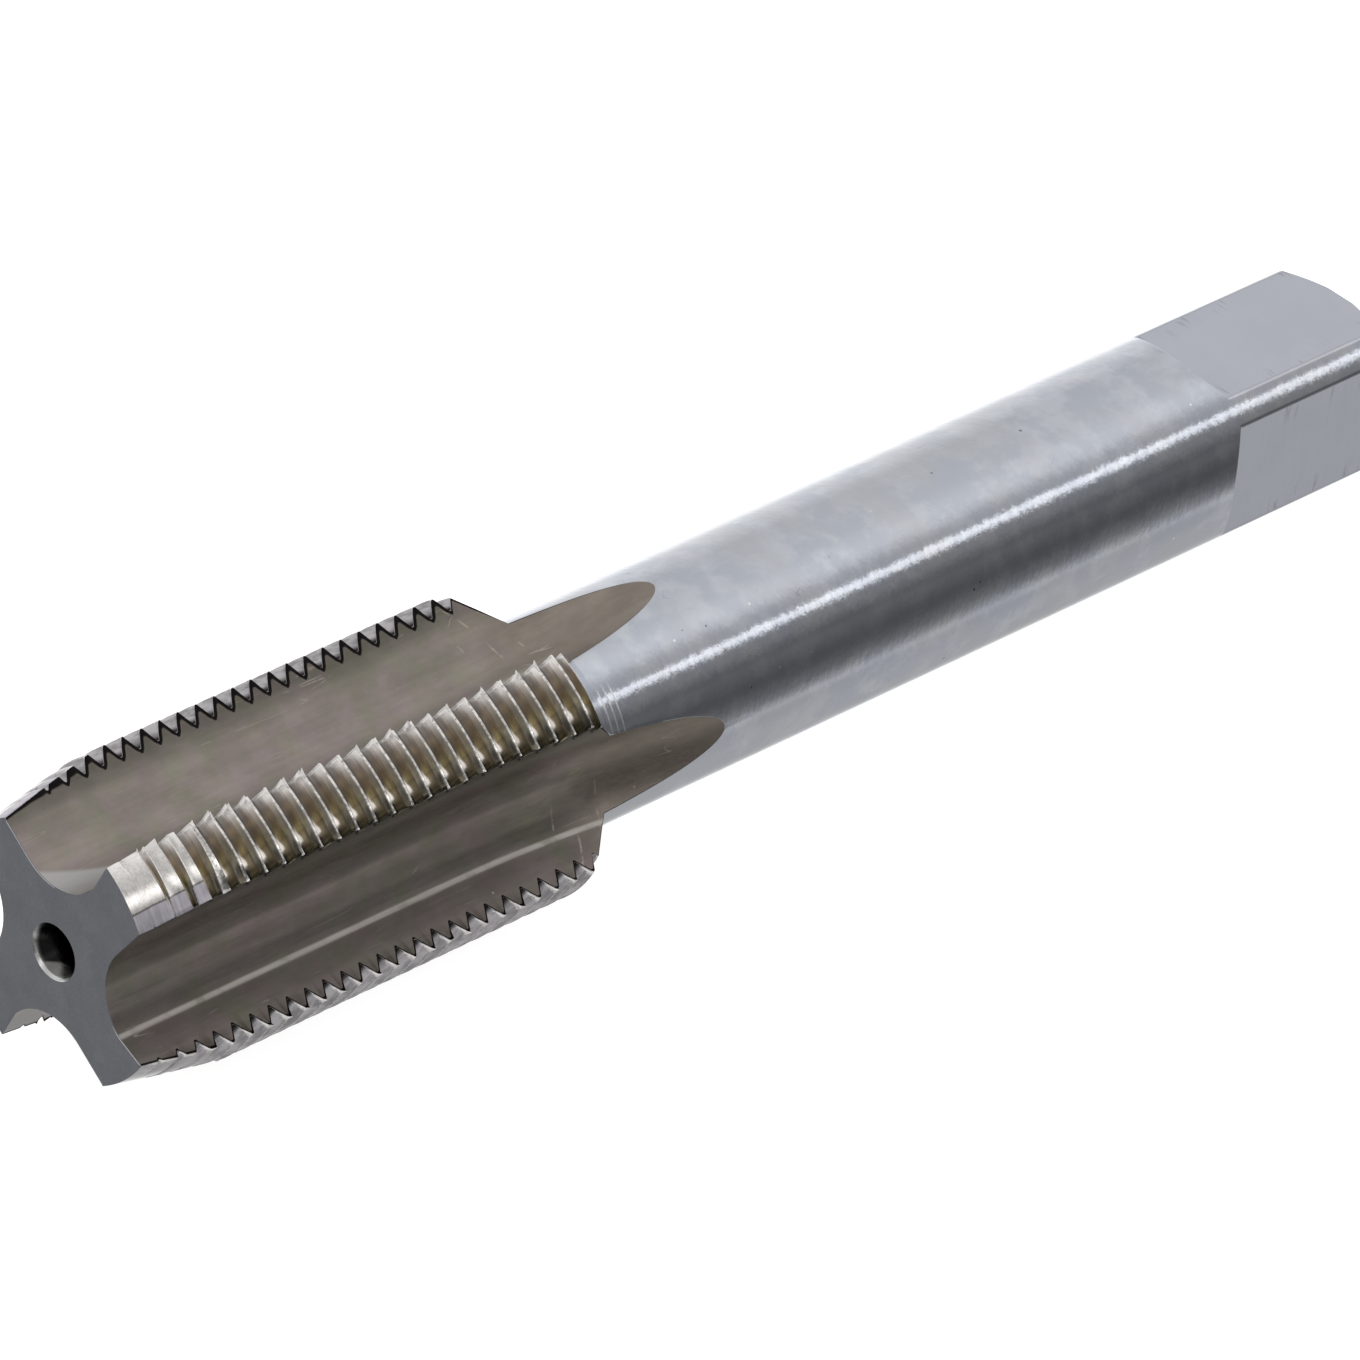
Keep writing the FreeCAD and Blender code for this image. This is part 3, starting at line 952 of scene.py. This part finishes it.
def makeLandFinish():
    tree, shader, place = newFinish("threadSteel")
    groove = markValue(tree, "groove")
    share = plus(tree, markValue(tree, "landShare"), wandering(tree, place, 0.25, 2.0, 0.12))
    onLead = spread(tree, alongTap(tree, place), *landLook["leadEnds"], 1.0, 0.0)
    # the burnt land, which also carries the painted light and shade
    burntAndLit = spread(tree, towards(tree, place, landLook["burntSide"]), *landLook["burntFrom"])
    grain = effect(tree, "grain", place, Along=4.5, Across=0.5)
    crests = landCrests(tree, place, share, burntAndLit, onLead)
    flanks = landFlanks(tree, groove, share, burntAndLit, grain)
    colour = mixed(tree, spread(tree, groove, *landLook["crestEnds"]), crests, flanks)
    colour = landRoots(tree, groove, share, burntAndLit, onLead, colour)
    edge = effect(tree, "edgeWear", place, Wear=markValue(tree, "wear"), Ragged=0.8, Often=5.0)
    colour = mixed(tree, edge, colour, landLook["burr"])
    # the lead's worn teeth, painted lilac-grey as a reflection, with a painted dark line where it begins
    wornFrom = landLook["wornFrom"]
    worn = times(tree, onLead, spread(tree, share, wornFrom, wornFrom + 0.02))
    worn = times(tree, worn, spread(tree, groove, 0.03, 0.1, 1.0, 0.0))
    colour = mixed(tree, worn, colour, scaled(tree, landLook["worn"], byGrain(tree, grain, 0.8, 1.1)))
    border = spread(tree, awayFrom(tree, share, wornFrom), 0.008, 0.02, 0.8, 0.0)
    colour = mixed(tree, times(tree, border, onLead), colour, landLook["wornBorder"])
    fine = effect(tree, "grain", place, Along=9.0, Across=0.8)
    rough = roughnessBy(tree, fine, landLook)
    rough = put(tree, "ShaderNodeMix", {0: edge, 2: rough, 3: landLook["burrRoughness"]}).outputs[0]
    rough = plus(tree, rough, times(tree, worn, landLook["wornRoughness"]))
    finishWith(tree, shader, colour, rough, fine, landLook["grindDepth"])


# Finish of the flutes: satin brown-grey steel, cloudy, with painted light and shade across each flute, a
# painted highlight along the ridge, and dark rims that are partly painted shadow.
# Its bounds are millimetres across a flute from its deepest line, or along it from the tip

fluteLook = {
    "steel": (0.28, 0.243, 0.221),
    "olive": (0.256, 0.243, 0.196),
    "oliveFrom": (-3.2, -4.8),  # it also grows towards the heel
    "pink": (0.295, 0.245, 0.24),
    "brown": (0.262, 0.222, 0.186),  # where the flute rises out of the steel
    # painted highlight along the ridge
    "ridge": (0.52, 0.485, 0.45),
    "ridgeFrom": (3.24, 3.78),  # along the foot of the cutting face
    "ridgeCore": 0.08,
    "mouth": (0.52, 0.51, 0.50),  # painted light where the first turns of a flute shine, on the lit side
    "mouthSide": (0.5, -0.87, 0.0),
    "mouthFrom": (-1.9, -1.4),
    "mouthEnds": (2.6, 1.6),
    "mouthSlant": 0.45,
    # painted light on the wall of the flute behind, near the tip
    "behindSide": (-0.85, 0.53, 0.0),
    "behindEnds": (6.0, 10.0),
    # the dark rims: partly deposit, partly painted shadow under the teeth
    "rim": (0.012, 0.01, 0.01),
    "scratch": (0.55, 0.50, 0.42),
    "cutterMark": (0.60, 0.54, 0.42),
    "marksFrom": (35.0, 41.0),  # where the leaving cutter marked it
    "markSpacing": 1.7,
    "markBend": 0.06,
    "pit": (0.04, 0.035, 0.03),
    "pitDepth": 6.0,  # times the streaks' depth
    "speck": (0.55, 0.50, 0.48),
    "roughness": 0.45,
    "roughRange": (0.85, 1.15),
    "streakDepth": 0.000003,
}
# How light each strip across a flute is painted: painted light and shade over its curve, the cutting face
# being on the far side
fluteStripShading = [
    (-6.0, 0.65), (-5.2, 0.84), (-4.6, 1.1), (-3.9, 1.22), (-2.9, 1.2), (-2.1, 1.22), (-1.0, 1.22),
    (-0.3, 1.05), (0.05, 1.2), (0.4, 2.0), (0.9, 2.05), (1.4, 1.6), (1.9, 1.3), (2.3, 0.7), (2.8, 0.5),
    (3.15, 0.6), (3.8, 0.78), (4.3, 0.68), (5.2, 0.7), (5.6, 0.85), (6.2, 0.75),
]
stripReach = 6.5


def fluteSteel(tree, place, along, across, streaks, fine):
    # the painted light and shade across the flute, under cloudy tints
    stripShading = plus(tree, across, wandering(tree, place, 0.3, 1.0, 0.3))
    stripShading = colourRamp(tree, stripShading, fluteStripShading, -stripReach, stripReach)
    leaving = spread(tree, along, threadLength - 1, threadLength + 4)
    stripShading = mixed(tree, leaving, stripShading, (1.15, 1.15, 1.15))
    olive = effect(tree, "patches", place, Size=2.8, Share=0.45, Softness=0.12, Shift=5.0)
    pink = effect(tree, "patches", place, Size=1.9, Share=0.4, Softness=0.12, Shift=11.0)
    olive = calc(tree, "MAXIMUM", olive, spread(tree, across, *fluteLook["oliveFrom"], 0.0, 0.9))
    colour = mixed(tree, olive, fluteLook["steel"], fluteLook["olive"])
    colour = mixed(tree, times(tree, pink, 0.8), colour, fluteLook["pink"])
    colour = mixed(tree, times(tree, leaving, 0.6), colour, fluteLook["brown"])
    cloud = effect(tree, "grain", place, Along=0.35, Across=0.6, Shift=3.0)
    shade = times(tree, byGrain(tree, fine, 0.97, 1.03), byGrain(tree, streaks, 0.96, 1.04))
    shade = times(tree, shade, byGrain(tree, cloud, 0.91, 1.09))
    return scaled(tree, colour, times(tree, shade, stripShading))


def fluteShine(tree, place, along, across, colour):
    # painted light on the flutes' mouths and on the wall behind, and the broken painted highlight along the
    # ridge
    mouth = less(tree, across, times(tree, along, fluteLook["mouthSlant"]))
    mouth = spread(tree, mouth, *fluteLook["mouthFrom"])
    mouth = times(tree, mouth, spread(tree, across, *fluteLook["mouthEnds"], 0.0, 1.0))
    lit = spread(tree, towards(tree, place, fluteLook["mouthSide"]), 2.0, 4.0, 0.1, 1.0)
    mouth = times(tree, mouth, lit)
    behind = spread(tree, towards(tree, place, fluteLook["behindSide"]), 2.5, 4.5)
    behind = times(tree, behind, spread(tree, along, *fluteLook["behindEnds"], 0.9, 0.0))
    colour = mixed(tree, calc(tree, "MAXIMUM", mouth, behind), colour, fluteLook["mouth"])
    low, high = fluteLook["ridgeFrom"]
    offRidge = awayFrom(tree, across, (low + high) / 2)
    ridge = spread(tree, offRidge, fluteLook["ridgeCore"], high - (low + high) / 2, 1.0, 0.0)
    broken = effect(tree, "grain", place, Along=0.7, Across=0.7, Shift=6.0)
    ridge = times(tree, ridge, spread(tree, broken, 0.3, 0.5, 0.6, 1.0))
    return mixed(tree, ridge, colour, fluteLook["ridge"])


def fluteMarks(tree, place, along, across, colour):
    # scratches along it, arcs where the cutter left, specks, and dark rims that are partly deposit and
    # partly painted shadow
    scratch = effect(tree, "scratches", place, Along=0.04, Across=0.7, Width=0.004, Share=0.34, Shift=9.0)
    colour = mixed(tree, times(tree, scratch, 0.7), colour, fluteLook["scratch"])
    low, high = fluteLook["marksFrom"]
    bent = times(tree, times(tree, across, across), fluteLook["markBend"])
    turns = calc(tree, "DIVIDE", plus(tree, along, bent), fluteLook["markSpacing"])
    arc = spread(tree, awayFrom(tree, calc(tree, "FRACT", turns), 0.5), 0.02, 0.06, 1.0, 0.0)
    fromMiddle = awayFrom(tree, along, (low + high) / 2)
    near = spread(tree, fromMiddle, (high - low) / 4, (high - low) / 2, 1.0, 0.0)
    shown = effect(tree, "patches", place, Size=1.3, Share=0.34, Softness=0.05, Shift=17.0)
    arc = times(tree, times(tree, arc, near), shown)
    colour = mixed(tree, times(tree, arc, 0.55), colour, fluteLook["cutterMark"])
    specks = effect(tree, "pits", place, Spacing=1.9, Size=0.13, Share=0.12)
    colour = mixed(tree, times(tree, specks, 0.7), colour, fluteLook["speck"])
    rim = times(tree, markValue(tree, "rim"), spread(tree, along, 1.0, 7.0, 0.5, 1.0))
    return mixed(tree, spread(tree, rim, 0.05, 0.3), colour, fluteLook["rim"])


def makeFluteFinish():
    tree, shader, place = newFinish("fluteSteel")
    across = markValue(tree, "across")
    along = alongTap(tree, place)
    streaks = effect(tree, "grain", place, Along=0.09, Across=2.6)
    fine = effect(tree, "grain", place, Along=0.35, Across=9.0, Shift=4.0)
    colour = fluteSteel(tree, place, along, across, streaks, fine)
    colour = fluteShine(tree, place, along, across, colour)
    colour = fluteMarks(tree, place, along, across, colour)
    pits = effect(tree, "pits", place, Spacing=3.2, Size=0.16, Share=0.1)
    colour = mixed(tree, pits, colour, fluteLook["pit"])
    height = less(tree, plus(tree, fine, streaks), times(tree, pits, fluteLook["pitDepth"]))
    rough = roughnessBy(tree, fine, fluteLook)
    finishWith(tree, shader, colour, rough, height, fluteLook["streakDepth"])


# Finish of the end faces: fine-turned, blue-grey, with faint stains, and bright breaks at the edges, painted
# brightest where they face the light

tipLook = {
    "steel": (0.246, 0.251, 0.274),
    "stain": (0.262, 0.267, 0.282),
    "dark": (0.226, 0.232, 0.256),
    "edge": (0.95, 0.94, 0.93),
    "edgeWithin": (0.003, 0.012),  # millimetres in from the end
    "roughness": 0.5,
    "roughRange": (0.85, 1.15),
    "turnDepth": 0.000006,
}


def intoEnd(tree, place):
    # how many millimetres a point lies in from the nearer end of the tap
    half = tapLength / 2
    return less(tree, half, awayFrom(tree, alongTap(tree, place), half))


def makeTipFinish():
    tree, shader, place = newFinish("endFaceSteel")
    cloud = effect(tree, "grain", place, Along=0.4, Across=0.4)
    colour = mixed(tree, spread(tree, cloud, 0.35, 0.65), tipLook["dark"], tipLook["steel"])
    stain = effect(tree, "patches", place, Size=2.2, Share=0.3, Softness=0.08, Shift=1.5)
    colour = mixed(tree, times(tree, stain, 0.7), colour, tipLook["stain"])
    # bright breaks: bare metal, with a painted highlight where they face the light
    edge = effect(tree, "edgeWear", place, Wear=markValue(tree, "wear"), Ragged=0.3, Often=1.0)
    onBreak = spread(tree, intoEnd(tree, place), *tipLook["edgeWithin"])
    colour = mixed(tree, times(tree, edge, onBreak), colour, tipLook["edge"])
    fine = effect(tree, "grain", place, Along=5.0, Across=5.0, Shift=6.0)
    finishWith(tree, shader, colour, roughnessBy(tree, fine, tipLook), fine, tipLook["turnDepth"])


# Finish of the shank: ground bright all round, cloudy, with turning rings at the shoulder's foot that carry
# a painted highlight where they catch the light

shankLook = {
    "steel": (0.55, 0.578, 0.645),
    "warm": (0.58, 0.593, 0.625),
    "cloud": (0.645, 0.67, 0.725),
    "speck": (0.25, 0.25, 0.26),
    "lightSpeck": (0.95, 0.95, 0.97),
    "ring": (0.85, 0.85, 0.85),
    "ringsPast": 1.5,  # how far past the shoulder the turning rings reach
    "ringSpacing": 0.5,
    "ringSide": (0.9976, 0.07, 0.0),  # the side where their painted highlight lies
    "ringRoughness": 0.2,
    "roughness": 0.11,
    "roughRange": (0.8, 1.3),
    "grindDepth": 0.00002,
    "waveDepth": 0.8,
}


def shankRings(tree, place):
    past = less(tree, alongTap(tree, place), shoulderEnd)
    turns = calc(tree, "FRACT", calc(tree, "DIVIDE", past, shankLook["ringSpacing"]))
    ring = spread(tree, awayFrom(tree, turns, 0.5), 0.05, 0.2, 1.0, 0.0)
    near = calc(tree, "LESS_THAN", past, shankLook["ringsPast"])
    # painted highlight: the rings are bright only on the side that catches the light
    near = times(tree, near, spread(tree, towards(tree, place, shankLook["ringSide"]), 6.6, 6.9))
    return times(tree, ring, near)


def makeShankFinish():
    tree, shader, place = newFinish("shankSteel")
    cloud = effect(tree, "patches", place, Size=2.2, Share=0.42, Softness=0.1)
    warm = effect(tree, "patches", place, Size=6.0, Share=0.4, Softness=0.12, Shift=8.0)
    colour = mixed(tree, cloud, shankLook["steel"], shankLook["cloud"])
    colour = mixed(tree, times(tree, warm, 0.8), colour, shankLook["warm"])
    light = effect(tree, "pits", place, Spacing=1.1, Size=0.13, Share=0.1)
    colour = mixed(tree, times(tree, light, 0.7), colour, shankLook["lightSpeck"])
    specks = effect(tree, "pits", place, Spacing=1.6, Size=0.13, Share=0.14)
    scratch = effect(tree, "scratches", place, Along=0.5, Across=0.5, Width=0.006, Share=0.12, Shift=3.0)
    dark = calc(tree, "MAXIMUM", specks, times(tree, scratch, 0.5))
    colour = mixed(tree, dark, colour, shankLook["speck"])
    ring = shankRings(tree, place)
    colour = mixed(tree, times(tree, ring, 0.8), colour, shankLook["ring"])
    grind = effect(tree, "grain", place, Along=2.4, Across=1.0)
    wave = effect(tree, "grain", place, Along=0.5, Across=0.5, Shift=5.0)
    rough = plus(tree, roughnessBy(tree, grind, shankLook), times(tree, ring, shankLook["ringRoughness"]))
    height = plus(tree, grind, times(tree, wave, shankLook["waveDepth"]))
    finishWith(tree, shader, colour, rough, height, shankLook["grindDepth"])


# Finish of the square's flats: milled smooth, blue-grey

squareLook = {
    "steel": (0.575, 0.60, 0.665),
    "light": (0.60, 0.62, 0.685),
    "smudge": (0.38, 0.39, 0.43),
    "smudgeFrom": (2.4, 3.8),  # millimetres from a flat's middle
    "roughness": 0.2,
    "roughRange": (0.85, 1.15),
    "millDepth": 0.000003,
}


def makeSquareFinish():
    tree, shader, place = newFinish("squareSteel")
    cloud = effect(tree, "patches", place, Size=5.0, Share=0.5, Softness=0.15)
    colour = mixed(tree, cloud, squareLook["steel"], squareLook["light"])
    turn = math.radians(squareForm["azimuth"])
    sides = [(math.cos(turn), math.sin(turn), 0.0), (-math.sin(turn), math.cos(turn), 0.0)]
    sides = [calc(tree, "ABSOLUTE", towards(tree, place, side)) for side in sides]
    nearEdge = spread(tree, calc(tree, "MINIMUM", *sides), *squareLook["smudgeFrom"])
    smudge = effect(tree, "grain", place, Along=1.4, Across=0.25, Shift=2.5)
    smudge = times(tree, spread(tree, smudge, 0.57, 0.66), nearEdge)
    smudge = calc(tree, "MAXIMUM", smudge, spread(tree, markValue(tree, "rim"), 0.3, 0.9))
    colour = mixed(tree, times(tree, smudge, 0.6), colour, squareLook["smudge"])
    mill = effect(tree, "grain", place, Along=4.0, Across=0.5)
    finishWith(tree, shader, colour, roughnessBy(tree, mill, squareLook), mill, squareLook["millDepth"])


# Finish inside the centre holes: a painted highlight at the rim, and painted shade inside, lighter on the
# side where the light falls in

holeLook = {
    "steel": (0.27, 0.265, 0.255),
    # painted shade deep in the hole
    "oil": (0.02, 0.02, 0.02),
    "rim": (0.85, 0.85, 0.84),
    "oilFrom": (0.08, 0.4),  # millimetres into the hole where the dark begins and is full
    "bareSide": (-0.5, 0.87, 0.0),  # the side where the light falls into the cone, painted lighter
    "bareFrom": (1.15, 1.3),
    "roughness": 0.2,
    "roughRange": (0.8, 1.4),
    "turnDepth": 0.00001,
}


def makeHoleFinish():
    tree, shader, place = newFinish("holeSteel")
    turning = effect(tree, "grain", place, Along=7.0, Across=0.8)
    side = towards(tree, place, holeLook["bareSide"])
    oil = spread(tree, intoEnd(tree, place), *holeLook["oilFrom"])
    oil = times(tree, oil, less(tree, 1.0, spread(tree, side, *holeLook["bareFrom"])))
    colour = mixed(tree, oil, holeLook["steel"], holeLook["oil"])
    edge = effect(tree, "edgeWear", place, Wear=markValue(tree, "wear"), Ragged=0.2, Often=2.0)
    edge = times(tree, edge, spread(tree, side, 0.0, 1.4, 0.15, 1.0))
    colour = mixed(tree, edge, colour, holeLook["rim"])
    finishWith(tree, shader, colour, roughnessBy(tree, turning, holeLook), turning, holeLook["turnDepth"])


# in the order of the mesh's slots
makeLandFinish()
makeFluteFinish()
makeTipFinish()
makeShankFinish()
makeSquareFinish()
makeHoleFinish()
print("finishes:", [material.name for material in tap.data.materials])

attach(tap, "root")
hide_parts("thread_tap")


# Studio

studio = {
    "floorColour": (0.3, 0.3, 0.3),
    "floorGlow": 0.93,  # lifts the tap's shadow, as on a lit white table
    "floorSize": 3.0,
    "viewAzimuth": -45.016,
    "viewElevation": 29.439,
    "viewDistance": 0.78399,
    "viewRoll": -0.158,
    "lens": 336.918,
    "aim": (-0.00576, -0.002365, 0.009),
    "lampPlace": (0.1, 0.1, 0.9),
    "lampSize": 1.2,
    "lampPower": 12,
}

# How bright the room is. Seen from the tap, round its axis from the table's near side up
# and over: degrees from the near horizon, and the level there. One narrow lamp hangs high
# in front, and the near horizon is dark
roomLevels = [
    (-180, 0.96), (-165, 1.25), (-152, 1.25), (-139, 1.12), (-133, 0.9), (-127, 0.68), (-119, 0.53),
    (-110, 0.49), (-81, 0.54), (-57, 0.5), (-51, 0.62), (-47, 0.46), (-39, 0.27), (-33, 0.19), (-21, 0.12),
    (-14, 0.11), (3, 0.17), (9, 0.15), (21, 0.27), (29, 0.29), (31.5, 0.75), (34, 1.35), (38, 1.55),
    (40.5, 0.45), (51, 0.57), (57, 0.74), (63, 0.87), (72, 0.89), (93, 0.75), (141, 0.68), (159, 0.84),
    (180, 0.96),
]
# Off the tip the light falls away towards one dark side: how squarely a direction faces
# it, and the level there
darkSide = (-0.82, -0.563, -0.102)
tipLevels = [
    (-1.0, 0.6), (-0.2, 0.65), (0.2, 0.5), (0.5, 0.5), (0.66, 1.1), (0.74, 0.6), (0.81, 0.26), (0.862, 0.2),
    (0.876, 0.78), (0.899, 0.78), (0.913, 0.1), (1.0, 0.04),
]
tipReach = (0.12, -0.3)  # along the tap: where the light off the tip begins and is on its own
# The lamp leans: where the light runs straight along the tap, and how many degrees a
# direction nearer the tip is turned
roomLean = (0.616, -8.0)


def makeFloor():
    half = studio["floorSize"] / 2
    corners = [(-half, -half, 0), (half, -half, 0), (half, half, 0), (-half, half, 0)]
    mesh = bpy.data.meshes.new("floor")
    mesh.from_pydata(corners, [], [(0, 1, 2, 3)])
    floor = placed("floor", mesh)
    material = bpy.data.materials.new("paleFloor")
    material.use_nodes = True
    shader = material.node_tree.nodes["Principled BSDF"]
    shader.inputs["Base Color"].default_value = (*studio["floorColour"], 1)
    shader.inputs["Roughness"].default_value = 0.8
    shader.inputs["Emission Color"].default_value = (1, 1, 1, 1)
    shader.inputs["Emission Strength"].default_value = studio["floorGlow"]
    mesh.materials.append(material)
    floor.visible_glossy = False


def makeCamera():
    azimuth, elevation = math.radians(studio["viewAzimuth"]), math.radians(studio["viewElevation"])
    level = Vector((math.sin(azimuth), -math.cos(azimuth), 0))
    back = level * math.cos(elevation) + Vector((0, 0, math.sin(elevation)))
    data = bpy.data.cameras.new("camera")
    data.sensor_width = 36
    data.lens = studio["lens"]
    data.clip_end = 50
    camera = placed("camera", data)
    turn = back.to_track_quat("Z", "Y").to_matrix().to_4x4()
    roll = Matrix.Rotation(math.radians(studio["viewRoll"]), 4, "Z")
    stand = Vector(studio["aim"]) + back * studio["viewDistance"]
    camera.matrix_world = Matrix.Translation(stand) @ turn @ roll
    bpy.context.scene.camera = camera


def makeWorld():
    world = bpy.data.worlds.new("studio")
    world.use_nodes = True
    bpy.context.scene.world = world
    tree = world.node_tree
    direction = put(tree, "ShaderNodeTexCoord").outputs["Generated"]
    x, y, z = put(tree, "ShaderNodeSeparateXYZ", {0: direction}).outputs
    angle = calc(tree, "DEGREES", calc(tree, "ARCTAN2", z, times(tree, y, -1.0)))
    lean = times(tree, less(tree, roomLean[0], x), roomLean[1])
    around = colourRamp(tree, plus(tree, angle, lean), roomLevels, -180, 180)
    offTip = colourRamp(tree, towards(tree, direction, darkSide), tipLevels, -1, 1)
    room = mixed(tree, spread(tree, x, tipReach[1], tipReach[0], 1.0, 0.0), around, offTip)
    seen = put(tree, "ShaderNodeLightPath").outputs["Is Camera Ray"]
    tree.links.new(mixed(tree, seen, room, plainWhite), tree.nodes["Background"].inputs["Color"])


def makeLamp():
    data = bpy.data.lights.new("above", "AREA")
    data.energy = studio["lampPower"]
    data.size = studio["lampSize"]
    lamp = placed("above", data)
    lamp.location = studio["lampPlace"]
    lamp.rotation_euler = Vector(studio["lampPlace"]).to_track_quat("Z", "Y").to_euler()
    lamp.visible_glossy = False


makeFloor()
makeCamera()
makeWorld()
makeLamp()
bpy.context.scene.view_settings.view_transform = "Standard"
print("studio and camera ready")
